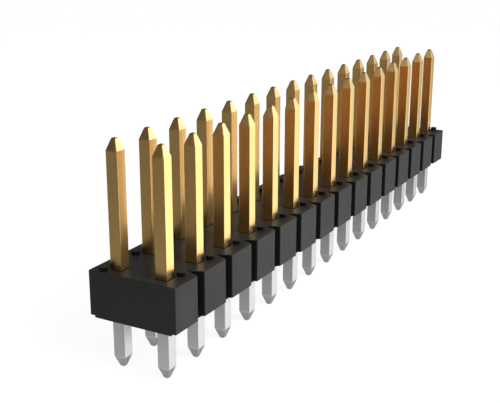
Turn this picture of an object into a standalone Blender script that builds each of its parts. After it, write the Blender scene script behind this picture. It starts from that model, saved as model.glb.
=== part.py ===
"""Straight board connector: a pin header with two rows of fifteen square pins.

Metres, +Z up. The rows run along X, row a on the -Y side and row b on the +Y side, and pin 1 of
each row is at the -X end. The origin is the centre of the seat, the face that rests on the board.
The posts point up from it and the solder tails go down through the board.
"""

import bmesh
import bpy
from mathutils import Matrix

# The pattern of pins.
PITCH = 0.00254
PINS_IN_ROW = 15
ROW_SIDES = {"a": -1, "b": 1}

# The insulator, one black moulding with a row of break grooves down each long side.
BODY_WIDTH = 0.00485
BODY_HEIGHT = 0.00235
END_MARGIN = 0.00091  # from an end face to the centres of the nearest pins
GROOVE_WIDTH = 0.00059
GROOVE_DEPTH = 0.00072
SIDE_RISE = 0.0001  # the long edges are this far off the board
SEAT_INSET = 0.00028  # from a long side to the edge of the seat
RECESS_DIAMETER = 0.00042
RECESS_DEPTH = 0.0003
RECESS_ALONG = 0.00062  # from a pin's centre to its recess, along the row
RECESS_OUTWARD = 0.00048  # the same, towards the long side
RECESS_SIDES = 24

# A pin, cut from square wire, with both ends coined to a blunt four-sided point.
PIN_WIDTH = 0.00064
PIN_CHAMFER = 0.00006
POST_LENGTH = 0.00627  # above the insulator
TAIL_LENGTH = 0.00268  # below the seat
POINT_LENGTH = 0.00057
POINT_WIDTH = 0.00022  # the flat at the very end
PIN_CLEARANCE = 0.00002  # all round a pin, in its hole

# What follows from the sizes above.
ROW_LENGTH = (PINS_IN_ROW - 1) * PITCH
BODY_LENGTH = ROW_LENGTH + 2 * END_MARGIN
HOLE_WIDTH = PIN_WIDTH + 2 * PIN_CLEARANCE
PIN_TOP = BODY_HEIGHT + POST_LENGTH
PIN_BOTTOM = -TAIL_LENGTH
OVERCUT = 0.0005  # how far a cutter reaches past the face it opens


def clear_scene():
    for obj in list(bpy.data.objects):
        bpy.data.objects.remove(obj, do_unlink=True)


def new_collection(name):
    collection = bpy.data.collections.new(name)
    bpy.context.scene.collection.children.link(collection)
    return collection


def new_material(name, colour, metallic, roughness):
    material = bpy.data.materials.new(name)
    material.use_nodes = True
    shader = material.node_tree.nodes["Principled BSDF"]
    shader.inputs["Base Color"].default_value = (*colour, 1.0)
    shader.inputs["Metallic"].default_value = metallic
    shader.inputs["Roughness"].default_value = roughness
    return material


def new_object(name, shape, collection):
    """Turn a bmesh into a mesh object and free the bmesh."""
    mesh = bpy.data.meshes.new(name)
    shape.to_mesh(mesh)
    shape.free()
    obj = bpy.data.objects.new(name, mesh)
    collection.objects.link(obj)
    return obj


def add_box(shape, size, centre):
    matrix = Matrix.Translation(centre) @ Matrix.Diagonal((*size, 1.0))
    return bmesh.ops.create_cube(shape, size=1.0, matrix=matrix)["verts"]


def add_prism(shape, sides, half_sizes, height, centre):
    """A standing prism whose corners lie on an ellipse, the first of them on an axis."""
    matrix = Matrix.Translation(centre) @ Matrix.Diagonal((*half_sizes, 1.0, 1.0))
    bmesh.ops.create_cone(
        shape,
        cap_ends=True,
        segments=sides,
        radius1=1.0,
        radius2=1.0,
        depth=height,
        matrix=matrix,
    )


def pin_x(number):
    return (number - 1) * PITCH - ROW_LENGTH / 2


def row_y(side):
    return side * PITCH / 2


def pin_places():
    """Each pin's name, the side its row is on, and the centre of its square."""
    for row, side in ROW_SIDES.items():
        for number in range(1, PINS_IN_ROW + 1):
            yield f"pin_{row}{number:02d}", side, pin_x(number), row_y(side)


def groove_cutters(collection):
    """One diamond prism for each groove, centred on the long side, so that half of it cuts a V."""
    shape = bmesh.new()
    height = BODY_HEIGHT + 2 * OVERCUT
    for side in ROW_SIDES.values():
        for number in range(1, PINS_IN_ROW):
            centre = (pin_x(number) + PITCH / 2, side * BODY_WIDTH / 2, BODY_HEIGHT / 2)
            add_prism(shape, 4, (GROOVE_WIDTH / 2, GROOVE_DEPTH), height, centre)
    return new_object("groove_cutters", shape, collection)


def edge_cutters(collection):
    """A long box along each bottom edge, which lifts the edge off the board beside the seat."""
    shape = bmesh.new()
    size = (BODY_LENGTH + 2 * OVERCUT, SEAT_INSET + OVERCUT, SIDE_RISE + OVERCUT)
    for side in ROW_SIDES.values():
        y = side * (BODY_WIDTH / 2 - SEAT_INSET + size[1] / 2)
        add_box(shape, size, (0.0, y, SIDE_RISE - size[2] / 2))
    return new_object("edge_cutters", shape, collection)


def hole_cutters(collection):
    shape = bmesh.new()
    size = (HOLE_WIDTH, HOLE_WIDTH, BODY_HEIGHT + 2 * OVERCUT)
    for _, _, x, y in pin_places():
        add_box(shape, size, (x, y, BODY_HEIGHT / 2))
    return new_object("hole_cutters", shape, collection)


def recess_cutters(collection):
    """A blind round hole beside each pin. Half a turn about Z takes one row's onto the other's."""
    shape = bmesh.new()
    height = RECESS_DEPTH + OVERCUT
    radius = RECESS_DIAMETER / 2
    for _, side, x, y in pin_places():
        centre = (x - side * RECESS_ALONG, y + side * RECESS_OUTWARD, BODY_HEIGHT - RECESS_DEPTH + height / 2)
        add_prism(shape, RECESS_SIDES, (radius, radius), height, centre)
    for face in shape.faces:
        face.smooth = len(face.verts) == 4
    return new_object("recess_cutters", shape, collection)


def cut_away(obj, cutter):
    cutter.hide_render = True
    cutter.display_type = "WIRE"
    boolean = obj.modifiers.new(cutter.name, "BOOLEAN")
    boolean.operation = "DIFFERENCE"
    boolean.solver = "EXACT"
    boolean.object = cutter


def make_insulator(parts, cutters):
    shape = bmesh.new()
    add_box(shape, (BODY_LENGTH, BODY_WIDTH, BODY_HEIGHT), (0.0, 0.0, BODY_HEIGHT / 2))
    insulator = new_object("insulator", shape, parts)
    insulator.data.materials.append(new_material("black thermoplastic", (0.02, 0.02, 0.02), 0.0, 0.5))
    for make_cutters in (groove_cutters, edge_cutters, hole_cutters, recess_cutters):
        cut_away(insulator, make_cutters(cutters))


def draw_point(shape, end, direction):
    """Draw the square end of a pin out along Z into a blunt point."""
    flat = [face for face in shape.faces if face.normal.z * direction > 0.9]
    drawn = bmesh.ops.extrude_face_region(shape, geom=flat)["geom"]
    bmesh.ops.delete(shape, geom=flat, context="FACES_ONLY")
    corners = [item for item in drawn if isinstance(item, bmesh.types.BMVert)]
    narrowing = POINT_WIDTH / PIN_WIDTH
    bmesh.ops.scale(shape, vec=(narrowing, narrowing, 1.0), verts=corners)
    for corner in corners:
        corner.co.z = end


def pin_mesh():
    """The mesh that all the pins share: a chamfered square bar with a point drawn out at each end."""
    shape = bmesh.new()
    length = PIN_TOP - PIN_BOTTOM - 2 * POINT_LENGTH
    middle = (PIN_TOP + PIN_BOTTOM) / 2
    add_box(shape, (PIN_WIDTH, PIN_WIDTH, length), (0.0, 0.0, middle))
    upright = [edge for edge in shape.edges if abs(edge.verts[0].co.z - edge.verts[1].co.z) > length / 2]
    bmesh.ops.bevel(shape, geom=upright, offset=PIN_CHAMFER, segments=1, affect="EDGES")
    draw_point(shape, PIN_TOP, 1)
    draw_point(shape, PIN_BOTTOM, -1)
    bmesh.ops.recalc_face_normals(shape, faces=shape.faces)
    mesh = bpy.data.meshes.new("pin")
    shape.to_mesh(mesh)
    shape.free()
    mesh.materials.append(new_material("gold plated brass", (0.83, 0.6, 0.22), 1.0, 0.25))
    return mesh


def make_pins(parts):
    mesh = pin_mesh()
    for name, _, x, y in pin_places():
        pin = bpy.data.objects.new(name, mesh)
        pin.location = (x, y, 0.0)
        parts.objects.link(pin)


def main():
    clear_scene()
    parts = new_collection("pin_header")
    cutters = new_collection("cutters")
    make_insulator(parts, cutters)
    make_pins(parts)


main()
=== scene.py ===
import math

import bmesh
import bpy
from mathutils import Matrix, Vector


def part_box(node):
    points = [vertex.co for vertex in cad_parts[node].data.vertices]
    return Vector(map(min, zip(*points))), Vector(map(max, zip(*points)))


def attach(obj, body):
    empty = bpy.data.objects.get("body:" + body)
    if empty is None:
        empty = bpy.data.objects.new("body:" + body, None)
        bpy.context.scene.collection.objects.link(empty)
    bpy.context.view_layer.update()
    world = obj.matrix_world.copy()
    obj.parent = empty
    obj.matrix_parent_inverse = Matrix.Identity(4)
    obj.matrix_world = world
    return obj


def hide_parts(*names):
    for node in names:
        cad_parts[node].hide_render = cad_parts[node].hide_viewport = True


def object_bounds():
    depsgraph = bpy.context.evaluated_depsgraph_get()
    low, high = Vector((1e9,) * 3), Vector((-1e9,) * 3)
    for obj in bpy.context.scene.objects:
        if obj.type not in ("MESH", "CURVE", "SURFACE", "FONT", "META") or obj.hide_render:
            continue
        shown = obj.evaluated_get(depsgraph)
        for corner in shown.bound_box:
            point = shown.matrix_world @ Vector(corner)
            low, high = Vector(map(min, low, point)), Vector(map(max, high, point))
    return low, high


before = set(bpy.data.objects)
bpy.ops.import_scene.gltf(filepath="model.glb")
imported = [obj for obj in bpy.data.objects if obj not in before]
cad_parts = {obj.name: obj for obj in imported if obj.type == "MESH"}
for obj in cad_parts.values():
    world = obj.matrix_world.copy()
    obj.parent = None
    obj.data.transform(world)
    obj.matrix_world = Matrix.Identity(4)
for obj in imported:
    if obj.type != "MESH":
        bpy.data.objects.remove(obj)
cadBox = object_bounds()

mm = 0.001  # pieces are drawn in millimetres and made metres when they are finished
scene = bpy.context.scene
scene.view_settings.view_transform = "Standard"


def hexToLinear(hexColour):
    # an sRGB hex colour as the linear values that a socket takes
    parts = [int(hexColour[i:i + 2], 16) / 255 for i in (1, 3, 5)]
    return (*[p / 12.92 if p <= 0.04045 else ((p + 0.055) / 1.055) ** 2.4 for p in parts], 1.0)


def addNode(tree, kind, settings=None, inputs=None):
    # inputs holds, for each socket's name or number, a value or the socket that feeds it
    node = tree.nodes.new("ShaderNode" + kind)
    for name, value in (settings or {}).items():
        setattr(node, name, value)
    for name, value in (inputs or {}).items():
        if isinstance(value, bpy.types.NodeSocket):
            tree.links.new(value, node.inputs[name])
        else:
            node.inputs[name].default_value = value
    return node


def startMaterial(name):
    material = bpy.data.materials.new(name)
    material.use_nodes = True
    material.node_tree.nodes.clear()
    return material, material.node_tree


def boxOf(node):
    # a CAD node's lowest and highest corners, in millimetres
    low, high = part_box(node)
    return low / mm, high / mm


def levelFlats(drawing):
    # shades the wide faces flat and leaves the turn to the narrow ones, which works on areas in square
    # millimetres and not on those in square metres, so it comes before the scaling
    leveller = bpy.data.objects.new(drawing.name, drawing)
    scene.collection.objects.link(leveller)
    leveller.modifiers.new("level flats", "WEIGHTED_NORMAL").keep_sharp = True
    levelled = leveller.evaluated_get(bpy.context.evaluated_depsgraph_get())
    mesh = bpy.data.meshes.new_from_object(levelled)
    bpy.data.meshes.remove(drawing)
    return mesh


def finishPiece(name, shape, materials, node):
    # the piece stands for one CAD node, rides on the one body, and keeps its place in its mesh
    drawing = bpy.data.meshes.new(name + "_drawing")
    shape.to_mesh(drawing)
    shape.free()
    mesh = levelFlats(drawing)
    mesh.name = name
    mesh.transform(Matrix.Scale(mm, 4))
    for material in materials:
        mesh.materials.append(material)
    piece = bpy.data.objects.new(name, mesh)
    scene.collection.objects.link(piece)
    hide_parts(node)
    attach(piece, "root")
    return piece


def markEdges(shape, sharpAngle):
    # smooth shading everywhere but across the edges that turn more than this
    for face in shape.faces:
        face.smooth = True
    for edge in shape.edges:
        edge.smooth = len(edge.link_faces) == 2 and edge.calc_face_angle() < sharpAngle


print("camera")

photoView = {
    "eye": (-50.655, -24.152, 18.051),  # mm
    "heading": 29.284,  # degrees from +X towards +Y
    "pitch": 16.831,  # degrees down
    "roll": 0.086,
    "focalPixels": 936.34,
    "imageWidth": 500,  # pixels
    "sensorWidth": 36.0,  # mm
    "nearest": 0.001,  # m, how near and how far the camera sees
    "farthest": 10.0,
}

cameraData = bpy.data.cameras.new("photo_camera")
cameraData.sensor_width = photoView["sensorWidth"]
cameraData.lens = photoView["focalPixels"] * cameraData.sensor_width / photoView["imageWidth"]
cameraData.clip_start = photoView["nearest"]
cameraData.clip_end = photoView["farthest"]
camera = bpy.data.objects.new("photo_camera", cameraData)
scene.collection.objects.link(camera)
turn = Matrix.Rotation(math.radians(photoView["heading"] - 90.0), 4, "Z")
tilt = Matrix.Rotation(math.radians(90.0 - photoView["pitch"]), 4, "X")
roll = Matrix.Rotation(math.radians(photoView["roll"]), 4, "Z")
camera.matrix_world = Matrix.Translation(Vector(photoView["eye"]) * mm) @ turn @ tilt @ roll
scene.camera = camera


print("materials")

noiseLow, noiseHigh = 0.3, 0.7  # nearly all of a noise texture's values lie between these

plastic = {
    "open": ("#363636", "#3b3b3b"),  # the plastic's own colour, the paler on the tops of the grain
    "painted_shade": ("#161616", "#1b1b1b"),  # painted shade: the grooves, the walls of the holes and the sides of the nubs are coloured darker for the shade that falls there
    "roughness": (0.3, 0.4),
    "specular": 0.11,
    "grain": 0.09,  # mm, the spark texture of the mould, coarser than the real 0.02 mm so that it shows
    "grainDepth": 0.006,  # mm
    "grainStrength": 0.35,
    "flow": 1.6,  # mm, cloudy bands left by the flow of the melt
}


def glassFilledNylon(name, colour, greyed):
    # glass-filled nylon, moulded in a spark-eroded cavity: near black, even, with a dull broken sheen
    material, tree = startMaterial(name)
    place = addNode(tree, "TexCoord").outputs["Object"]
    grain = addNode(tree, "TexNoise", inputs={
        "Vector": place, "Scale": 1 / (plastic["grain"] * mm), "Detail": 3.0, "Roughness": 0.6})
    flow = addNode(tree, "TexNoise", inputs={
        "Vector": place, "Scale": 1 / (plastic["flow"] * mm), "Detail": 2.0, "Distortion": 0.6})
    mixed = addNode(tree, "MixRGB", inputs={
        "Fac": grain.outputs["Fac"], "Color1": hexToLinear(colour), "Color2": hexToLinear(greyed)})
    low, high = plastic["roughness"]
    roughness = addNode(tree, "MapRange", inputs={
        "Value": flow.outputs["Fac"], "From Min": noiseLow, "From Max": noiseHigh,
        "To Min": low, "To Max": high})
    bump = addNode(tree, "Bump", inputs={
        "Height": grain.outputs["Fac"], "Strength": plastic["grainStrength"],
        "Distance": plastic["grainDepth"] * mm})
    shader = addNode(tree, "BsdfPrincipled", inputs={
        "Base Color": mixed.outputs["Color"], "Roughness": roughness.outputs["Result"],
        "Specular IOR Level": plastic["specular"], "Normal": bump.outputs["Normal"]})
    addNode(tree, "OutputMaterial", inputs={"Surface": shader.outputs["BSDF"]})
    return material


plating = {
    "gold": "#ffd58c",
    "goldDeep": "#fccd80",  # thinner plate over the nickel, in lengthwise streaks
    "goldRoughness": (0.245, 0.27),
    "drawLine": 0.08,  # mm across, the marks that the wire die leaves along the pin
    "drawLength": 5.0,  # mm along
    "drawDepth": 0.001,  # mm
    "drawStrength": 0.015,
    "tin": "#dededd",
    "tinDull": "#d2d2d0",
    "tinRoughness": (0.3, 0.38),
    "tinMetallic": 0.64,  # a matt plate scatters much of its light
    "tinSpecular": 0.3,
    "tinGrain": 0.07,  # mm
    "tinGrainDepth": 0.004,  # mm
    "tinGrainStrength": 0.3,
    "change": 1.2,  # mm above the seat, inside the insulator, where the gold ends and the tin starts
}


def goldPlate():
    # flash gold over nickel on drawn square wire: bright, warm, with faint streaks along the pin
    material, tree = startMaterial("gold plate over nickel, drawn wire")
    place = addNode(tree, "TexCoord").outputs["Object"]
    across, along = 1 / (plating["drawLine"] * mm), 1 / (plating["drawLength"] * mm)
    stretched = addNode(tree, "Mapping", inputs={"Vector": place, "Scale": (across, across, along)})
    lines = addNode(tree, "TexNoise", inputs={
        "Vector": stretched.outputs["Vector"], "Scale": 1.0, "Detail": 3.0, "Roughness": 0.55})
    colour = addNode(tree, "MixRGB", inputs={
        "Fac": lines.outputs["Fac"], "Color1": hexToLinear(plating["gold"]),
        "Color2": hexToLinear(plating["goldDeep"])})
    low, high = plating["goldRoughness"]
    roughness = addNode(tree, "MapRange", inputs={
        "Value": lines.outputs["Fac"], "From Min": noiseLow, "From Max": noiseHigh,
        "To Min": low, "To Max": high})
    bump = addNode(tree, "Bump", inputs={
        "Height": lines.outputs["Fac"], "Strength": plating["drawStrength"],
        "Distance": plating["drawDepth"] * mm})
    shader = addNode(tree, "BsdfPrincipled", inputs={
        "Base Color": colour.outputs["Color"], "Metallic": 1.0,
        "Roughness": roughness.outputs["Result"], "Normal": bump.outputs["Normal"]})
    addNode(tree, "OutputMaterial", inputs={"Surface": shader.outputs["BSDF"]})
    return material


def mattTin():
    # matt tin plate: pale grey, softly reflecting, with a fine crystalline mottle
    material, tree = startMaterial("matt tin plate")
    place = addNode(tree, "TexCoord").outputs["Object"]
    grain = addNode(tree, "TexNoise", inputs={
        "Vector": place, "Scale": 1 / (plating["tinGrain"] * mm), "Detail": 3.0, "Roughness": 0.6})
    colour = addNode(tree, "MixRGB", inputs={
        "Fac": grain.outputs["Fac"], "Color1": hexToLinear(plating["tin"]),
        "Color2": hexToLinear(plating["tinDull"])})
    low, high = plating["tinRoughness"]
    roughness = addNode(tree, "MapRange", inputs={
        "Value": grain.outputs["Fac"], "From Min": noiseLow, "From Max": noiseHigh,
        "To Min": low, "To Max": high})
    bump = addNode(tree, "Bump", inputs={
        "Height": grain.outputs["Fac"], "Strength": plating["tinGrainStrength"],
        "Distance": plating["tinGrainDepth"] * mm})
    shader = addNode(tree, "BsdfPrincipled", inputs={
        "Base Color": colour.outputs["Color"], "Metallic": plating["tinMetallic"],
        "Specular IOR Level": plating["tinSpecular"],
        "Roughness": roughness.outputs["Result"], "Normal": bump.outputs["Normal"]})
    addNode(tree, "OutputMaterial", inputs={"Surface": shader.outputs["BSDF"]})
    return material


pinNodes = sorted(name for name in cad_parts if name.startswith("pin_"))

print("insulator")

moulding = {
    "grooveWidth": 0.59,
    "grooveDepth": 0.72,
    "sideRise": 0.1,  # the long edges stand this far off the board
    "seatInset": 0.28,  # from a long side to the seat
    "edgeRadius": 0.05,
    "easedTurn": 25,  # degrees, an edge that turns more than this gets the radius
    "holeGap": 0.02,  # all round a pin
    "holeLeadIn": 0.04,
    "nubRadius": 0.21,
    "nubHeight": 0.2,
    "nubEasing": 0.025,  # how far its upper edge is rounded back
    "nubAlong": 0.62,  # from the pin's centre, along the row
    "nubOutward": 0.48,  # and towards the long side
    "nubSides": 32,
    "overcut": 0.5,  # how far a cutter reaches past the face it opens
    "weld": 0.001,  # carved corners nearer than this become one
    "sharpTurn": 50,  # degrees, an edge that turns more than this is shaded sharp
}


def addBlock(shape, low, high):
    matrix = Matrix.Translation((high + low) / 2) @ Matrix.Diagonal((*(high - low), 1.0))
    bmesh.ops.create_cube(shape, size=1.0, matrix=matrix)


def cutPlane(shape, point, normal):
    everything = shape.verts[:] + shape.edges[:] + shape.faces[:]
    bmesh.ops.bisect_plane(shape, geom=everything, dist=1e-5, plane_co=point, plane_no=normal)


def bodyBlock(low, high, grooveXs):
    # a bar with a V groove down both long sides between each pair of pins
    shape = bmesh.new()
    addBlock(shape, low, high)
    halfGroove = moulding["grooveWidth"] / 2
    for x in grooveXs:
        for offset in (-halfGroove, 0.0, halfGroove):
            cutPlane(shape, (x + offset, 0, 0), (1, 0, 0))
    for corner in shape.verts:
        if any(abs(corner.co.x - x) < moulding["weld"] for x in grooveXs):
            corner.co.y -= math.copysign(moulding["grooveDepth"], corner.co.y)
    shape.normal_update()
    bmesh.ops.dissolve_limit(shape, angle_limit=math.radians(1), verts=shape.verts, edges=shape.edges)
    return shape


def edgeCutters(low, high):
    # a bar along each lower long edge, which lifts it off the board beside the seat
    shape = bmesh.new()
    past = moulding["overcut"]
    for side in (-1, 1):
        ys = sorted((side * (high.y - moulding["seatInset"]), side * (high.y + past)))
        addBlock(shape, Vector((low.x - past, ys[0], low.z - past)),
                 Vector((high.x + past, ys[1], low.z + moulding["sideRise"])))
    return shape


def easeEdges(shape, bottom):
    # the small radius that a mould leaves on the outer edges, but for those of the underside
    underside = bottom + moulding["sideRise"]
    leastTurn = math.radians(moulding["easedTurn"])
    outward = [edge for edge in shape.edges if edge.calc_face_angle_signed() > leastTurn]
    edges = [edge for edge in outward if max(corner.co.z for corner in edge.verts) > underside]
    bmesh.ops.bevel(shape, geom=edges, offset=moulding["edgeRadius"], offset_type="OFFSET", affect="EDGES",
                    segments=3, profile=0.5, material=-1, clamp_overlap=True)


def holeCutters(pinBoxes, top, bottom):
    # a square hole for each pin, with its mouth eased where the pin is pressed in
    shape = bmesh.new()
    past, easing = moulding["overcut"], moulding["holeLeadIn"]
    for pinLow, pinHigh in pinBoxes:
        centre = (pinLow + pinHigh) / 2
        half = (pinHigh.x - pinLow.x) / 2 + moulding["holeGap"]
        addBlock(shape, Vector((centre.x - half, centre.y - half, bottom - past)),
                 Vector((centre.x + half, centre.y + half, top + past)))
        # four-sided and flaring at 45 degrees, it meets the top a lead-in wider all round than the hole
        flare = Matrix.Translation((centre.x, centre.y, top)) @ Matrix.Rotation(math.radians(45), 4, "Z")
        narrow, wide = (math.sqrt(2) * (half + easing + reach) for reach in (-2 * easing, 2 * easing))
        bmesh.ops.create_cone(shape, cap_ends=True, segments=4, radius1=narrow, radius2=wide,
                              depth=4 * easing, matrix=flare)
    return shape


def topNubs(pinBoxes, top):
    # a small round nub beside each pin, rooted inside the moulding, its upper edge eased
    shape = bmesh.new()
    radius, height, easing = moulding["nubRadius"], moulding["nubHeight"], moulding["nubEasing"]
    root = -height
    shoulder = 0.3 * easing  # the middle of the rounding lies this far in and down
    for pinLow, pinHigh in pinBoxes:
        centre = (pinLow + pinHigh) / 2
        side = math.copysign(1, centre.y)
        x = centre.x - side * moulding["nubAlong"]
        y = centre.y + side * moulding["nubOutward"]
        profile = [(0, root), (radius, root), (radius, height - easing),
                   (radius - shoulder, height - shoulder), (radius - easing, height), (0, height)]
        corners = [shape.verts.new((x + r, y, top + z)) for r, z in profile]
        edges = [shape.edges.new(pair) for pair in zip(corners, corners[1:])]
        bmesh.ops.spin(shape, geom=corners + edges, cent=(x, y, top), axis=(0, 0, 1), angle=2 * math.pi,
                       steps=moulding["nubSides"], use_merge=True)
    bmesh.ops.remove_doubles(shape, verts=shape.verts, dist=1e-4)
    bmesh.ops.recalc_face_normals(shape, faces=shape.faces)
    return shape


def carve(shape, cutters, addition):
    # takes each cutter away from the shape, joins the addition to it and gives the result back
    helpers = []
    for number, part in enumerate([shape, *cutters, addition]):
        mesh = bpy.data.meshes.new(f"carving_{number}")
        part.to_mesh(mesh)
        part.free()
        helpers.append(bpy.data.objects.new(mesh.name, mesh))
        scene.collection.objects.link(helpers[-1])
    for helper in helpers[1:]:
        step = helpers[0].modifiers.new(helper.name, "BOOLEAN")
        step.operation = "UNION" if helper is helpers[-1] else "DIFFERENCE"  # the last one is the addition
        step.solver = "EXACT"
        step.use_self = True
        step.object = helper
    carved = bmesh.new()
    carved.from_object(helpers[0], bpy.context.evaluated_depsgraph_get())
    bmesh.ops.remove_doubles(carved, verts=carved.verts, dist=moulding["weld"])
    bmesh.ops.holes_fill(carved, edges=[edge for edge in carved.edges if len(edge.link_faces) == 1])
    for helper in helpers:
        bpy.data.meshes.remove(helper.data)
    return carved


insulatorLow, insulatorHigh = boxOf("insulator")
pinBoxes = [boxOf(name) for name in pinNodes]
rowXs = sorted({round((low.x + high.x) / 2, 3) for low, high in pinBoxes})
grooveXs = [(a + b) / 2 for a, b in zip(rowXs, rowXs[1:])]
block = bodyBlock(insulatorLow, insulatorHigh, grooveXs)
easeEdges(block, insulatorLow.z)
body = carve(block, [
    edgeCutters(insulatorLow, insulatorHigh),
    holeCutters(pinBoxes, insulatorHigh.z, insulatorLow.z),
], topNubs(pinBoxes, insulatorHigh.z))
markEdges(body, math.radians(moulding["sharpTurn"]))
wallFoot = insulatorLow.z + 1  # the walls of the holes have their middles between these heights
wallHead = insulatorHigh.z - moulding["edgeRadius"] - 0.01
outerX, outerY = insulatorHigh.x - 0.02, insulatorHigh.y - 0.02  # past these lie the outer faces


def isPaintedShade(face):
    # picks the faces that get the darker plastic of painted shade, told by where the face's middle lies and
    # how steep it is: 0 on a wall, 1 on a level face
    middle, level = face.calc_center_median(), abs(face.normal.z)
    if middle.z > insulatorHigh.z + moulding["weld"]:
        return level < 0.9  # painted shade on a nub's sides, not on its flat top
    inGroove = level < 0.5 and min(abs(middle.x - x) for x in grooveXs) < moulding["grooveWidth"] / 2
    inHole = wallFoot < middle.z < wallHead
    return (inGroove or inHole) and abs(middle.x) <= outerX and abs(middle.y) <= outerY


# painted shade: the faces of the grooves, hole walls and nub sides take the second, darker plastic
for face in body.faces:
    face.material_index = int(isPaintedShade(face))
nylons = [glassFilledNylon(f"glass-filled nylon, {part}", *plastic[part]) for part in ("open", "painted_shade")]
finishPiece("moulded_insulator", body, nylons, "insulator")


print("pins")

pinShape = {
    "edgeRadius": 0.045,
    "sharpTurn": 50,  # degrees
    # the coined point: how far back from the end, and how wide there
    "point": [(0.6, 1.0), (0.56, 0.98), (0.07, 0.42), (0.02, 0.335), (0.0, 0.2)],
}


def drawPin(low, high):
    # square wire with rounded long edges, coined to a blunt four-sided point at both ends
    shape = bmesh.new()
    width, middle = high.x - low.x, (high + low) / 2
    setback = pinShape["point"][0][0]
    length = high.z - low.z - 2 * setback
    bmesh.ops.create_cube(shape, size=1.0, matrix=Matrix.Diagonal((width, width, length, 1.0)))
    upright = [edge for edge in shape.edges if abs(edge.verts[0].co.z - edge.verts[1].co.z) > length / 2]
    bmesh.ops.bevel(shape, geom=upright, offset=pinShape["edgeRadius"], offset_type="OFFSET", affect="EDGES",
                    segments=4, profile=0.5, material=-1)
    for direction in (-1, 1):
        cap = [face for face in shape.faces if face.normal.z * direction > 0.9]
        for (_, before), (back, share) in zip(pinShape["point"], pinShape["point"][1:]):
            drawn = bmesh.ops.extrude_face_region(shape, geom=cap)["geom"]
            bmesh.ops.delete(shape, geom=cap, context="FACES_ONLY")
            cap = [item for item in drawn if isinstance(item, bmesh.types.BMFace)]
            ring = [item for item in drawn if isinstance(item, bmesh.types.BMVert)]
            bmesh.ops.scale(shape, vec=(share / before, share / before, 1.0), verts=ring)
            for corner in ring:
                corner.co.z = direction * (length / 2 + setback - back)
    bmesh.ops.translate(shape, vec=middle, verts=shape.verts)
    cutPlane(shape, (0, 0, plating["change"]), (0, 0, 1))
    for face in shape.faces:
        face.material_index = int(face.calc_center_median().z < plating["change"])
    bmesh.ops.recalc_face_normals(shape, faces=shape.faces)
    markEdges(shape, math.radians(pinShape["sharpTurn"]))
    return shape


pinMaterials = [goldPlate(), mattTin()]
for name in pinNodes:
    finishPiece("plated_" + name, drawPin(*boxOf(name)), pinMaterials, name)


print("studio")

studio = {
    "floorSize": 4.0,  # m
    "fadeFrom": 0.04,  # m from the middle, where the floor starts to fade into the white world
    "fadeTo": 0.15,
    "paper": "#e4e4e4",  # what the floor sends back onto the object
    "shownPaper": "#9f9f9f",  # the share of the shown white that needs light, so that shadows show
    "floorLift": 0.87,  # the rest of its white
    "fill": 0.33,  # the world's even light
    "keyPlace": (-14, -188, 100),  # mm
    "keySize": 190,  # mm
    "keyRadiance": 2.56,
    "domeRadius": 250,  # mm
    "domeSegments": (96, 48),  # around, and from pole to pole
    # how bright the metal sees the dome at each heading, in degrees from +X towards +Y, in bands from below
    "bands": {
        "underfoot": {-180: 0.25, -100: 0.5, -44: 0.5, -20: 0.2, -6: 0.12, 48: 0.12, 122: 0.2, 180: 0.25},
        "low": {-180: 0.6, -150: 0.6, -100: 1.0, -44: 1.2, -30: 0.6, -20: 0.2, -6: 0.12, 48: 0.12, 100: 0.6,
                122: 1.1, 135: 1.5, 155: 1.4, 165: 1.1, 180: 0.6},
        "level": {-180: 0.2, -120: 0.17, -95: 0.6, -62: 1.6, -44: 1.95, -31: 1.8, -24: 1.05, -17: 0.2,
                  -6: 0.12, 12: 0.18, 48: 0.18, 70: 0.5, 100: 0.5, 122: 0.22, 145: 0.2, 180: 0.2},
        "eyeLevel": {-180: 0.17, -120: 0.15, -95: 0.5, -62: 1.5, -44: 1.7, -31: 1.65, -27: 1.4, -24: 0.98,
                     -21: 0.6, -17: 0.16, -6: 0.12, 12: 0.17, 48: 0.17, 70: 0.5, 100: 0.5, 122: 0.2,
                     145: 0.17, 180: 0.17},
        "high": {-180: 0.7, -160: 0.2, -120: 0.1, -95: 0.5, -62: 1.8, -44: 2.5, -34: 2.4, -30: 1.9,
                 -27: 1.38, -24: 0.9, -21.5: 0.71, -19: 0.65, -5: 0.35, 15: 0.2, 48: 0.2, 70: 0.3,
                 100: 0.2, 120: 0.05, 149: 0.05, 154: 0.15, 159: 0.5, 163: 0.85, 180: 0.8},
        "top": {-180: 0.05, 180: 0.05},
    },
    # the heights, in degrees, between which each band gives way to the next
    "bandTurns": ((-50, -42), (-31, -26), (-18, -15), (-1, 9), (40, 52)),
    # the colour of a band's light between two headings: it reddens the sides of pins that mirror their
    # neighbours, and turns the points and the lit long sides lemon
    "tints": {"eyeLevel": (12, 48, "#ffd2ff"), "high": (-44, -15, "#dbebff")},
}


def seenRays(tree):
    # 1 for what the camera sees, straight or in a gloss or through glass, else 0
    path = addNode(tree, "LightPath").outputs
    either = addNode(tree, "Math", {"operation": "MAXIMUM"}, {
        0: path["Is Camera Ray"], 1: path["Is Glossy Ray"]})
    seen = addNode(tree, "Math", {"operation": "MAXIMUM"}, {
        0: either.outputs[0], 1: path["Is Transmission Ray"]})
    return seen.outputs[0]


def finishStage(name, shape, material):
    mesh = bpy.data.meshes.new(name)
    shape.to_mesh(mesh)
    shape.free()
    mesh.materials.append(material)
    prop = bpy.data.objects.new(name, mesh)
    scene.collection.objects.link(prop)
    return prop


world = bpy.data.worlds.new("studio")
scene.world = world
world.use_nodes = True
tree = world.node_tree
tree.nodes.clear()
fill = addNode(tree, "Background", inputs={"Strength": studio["fill"], "Color": (1, 1, 1, 1)})
white = addNode(tree, "Background", inputs={"Strength": 1.0, "Color": (1, 1, 1, 1)})
both = addNode(tree, "MixShader", inputs={0: seenRays(tree), 1: fill.outputs[0], 2: white.outputs[0]})
addNode(tree, "OutputWorld", inputs={"Surface": both.outputs[0]})

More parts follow.
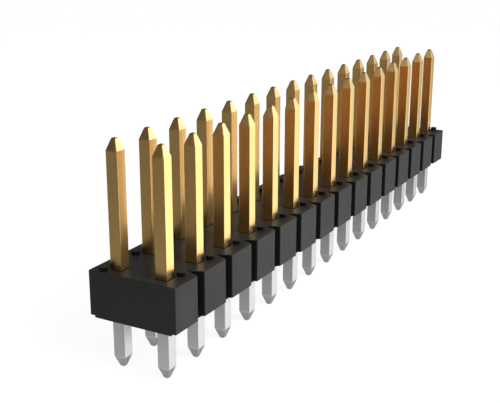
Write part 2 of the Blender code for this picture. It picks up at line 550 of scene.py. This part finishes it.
# the floor: white paper that fades into the white world, and takes the object's shadow
floorMaterial, tree = startMaterial("pale studio floor")
paper = addNode(tree, "BsdfDiffuse", inputs={"Color": hexToLinear(studio["paper"])})
shownPaper = addNode(tree, "BsdfDiffuse", inputs={"Color": hexToLinear(studio["shownPaper"])})
lift = addNode(tree, "Emission", inputs={"Strength": studio["floorLift"]})
near = addNode(tree, "AddShader", inputs={0: shownPaper.outputs[0], 1: lift.outputs[0]})
place = addNode(tree, "TexCoord").outputs["Object"]
distance = addNode(tree, "VectorMath", {"operation": "LENGTH"}, {0: place})
fade = addNode(tree, "MapRange", {"interpolation_type": "SMOOTHSTEP"}, {
    "Value": distance.outputs["Value"], "From Min": studio["fadeFrom"], "From Max": studio["fadeTo"]})
horizon = addNode(tree, "Emission", inputs={"Strength": 1.0})
shown = addNode(tree, "MixShader", inputs={
    0: fade.outputs["Result"], 1: near.outputs[0], 2: horizon.outputs[0]})
both = addNode(tree, "MixShader", inputs={0: seenRays(tree), 1: paper.outputs[0], 2: shown.outputs[0]})
addNode(tree, "OutputMaterial", inputs={"Surface": both.outputs[0]})

shape = bmesh.new()
bmesh.ops.create_grid(shape, x_segments=1, y_segments=1, size=studio["floorSize"] / 2)
bmesh.ops.translate(shape, vec=(0, 0, cadBox[0].z), verts=shape.verts)
floor = finishStage("floor", shape, floorMaterial)
floor.visible_glossy = False

# a graded dome, met only by reflections, that gives the metal its light and dark sides
material, tree = startMaterial("graded dome")
place = addNode(tree, "TexCoord").outputs["Object"]
direction = addNode(tree, "VectorMath", {"operation": "NORMALIZE"}, {0: place})
along = addNode(tree, "SeparateXYZ", inputs={0: direction.outputs[0]})
heading = addNode(tree, "Math", {"operation": "ARCTAN2"}, {0: along.outputs["Y"], 1: along.outputs["X"]})
share = addNode(tree, "MapRange", inputs={
    "Value": heading.outputs[0], "From Min": -math.pi, "From Max": math.pi})
brightest = max(max(band.values()) for band in studio["bands"].values())
blended = None
for (bandName, band), turn in zip(studio["bands"].items(), (None, *studio["bandTurns"])):
    around = addNode(tree, "ValToRGB", inputs={"Fac": share.outputs["Result"]})
    stops = around.color_ramp.elements
    tintFrom, tintTo, tint = studio["tints"].get(bandName, (0, 0, "#ffffff"))
    while len(stops) < len(band):
        stops.new(0.5)
    for stop, (degrees, brightness) in zip(stops, band.items()):
        stop.position = (degrees + 180) / 360
        shade = hexToLinear(tint if tintFrom <= degrees <= tintTo else "#ffffff")
        stop.color = (*[brightness / brightest * part for part in shade[:3]], 1.0)
    if blended is None:
        blended = around.outputs["Color"]
        continue
    low, high = (math.sin(math.radians(degrees)) for degrees in turn)
    risen = addNode(tree, "MapRange", {"interpolation_type": "SMOOTHSTEP"}, {
        "Value": along.outputs["Z"], "From Min": low, "From Max": high})
    mixed = addNode(tree, "MixRGB", inputs={
        "Fac": risen.outputs["Result"], "Color1": blended, "Color2": around.outputs["Color"]})
    blended = mixed.outputs["Color"]
glow = addNode(tree, "Emission", inputs={"Color": blended, "Strength": brightest})
addNode(tree, "OutputMaterial", inputs={"Surface": glow.outputs[0]})
shape = bmesh.new()
aroundDome, upDome = studio["domeSegments"]
bmesh.ops.create_uvsphere(shape, u_segments=aroundDome, v_segments=upDome, radius=studio["domeRadius"] * mm)
dome = finishStage("graded_dome", shape, material)
dome.visible_camera = dome.visible_diffuse = dome.visible_shadow = dome.visible_transmission = False

# one soft lamp, out from the long side of row a and somewhat above it
light = bpy.data.lights.new("key_softbox", "AREA")
light.size = studio["keySize"] * mm
light.energy = studio["keyRadiance"] * math.pi * light.size ** 2
softbox = bpy.data.objects.new("key_softbox", light)
scene.collection.objects.link(softbox)
stand = Vector(studio["keyPlace"]) * mm
softbox.matrix_world = Matrix.Translation(stand) @ (-stand).to_track_quat("-Z", "Y").to_matrix().to_4x4()
softbox.visible_camera = softbox.visible_glossy = False
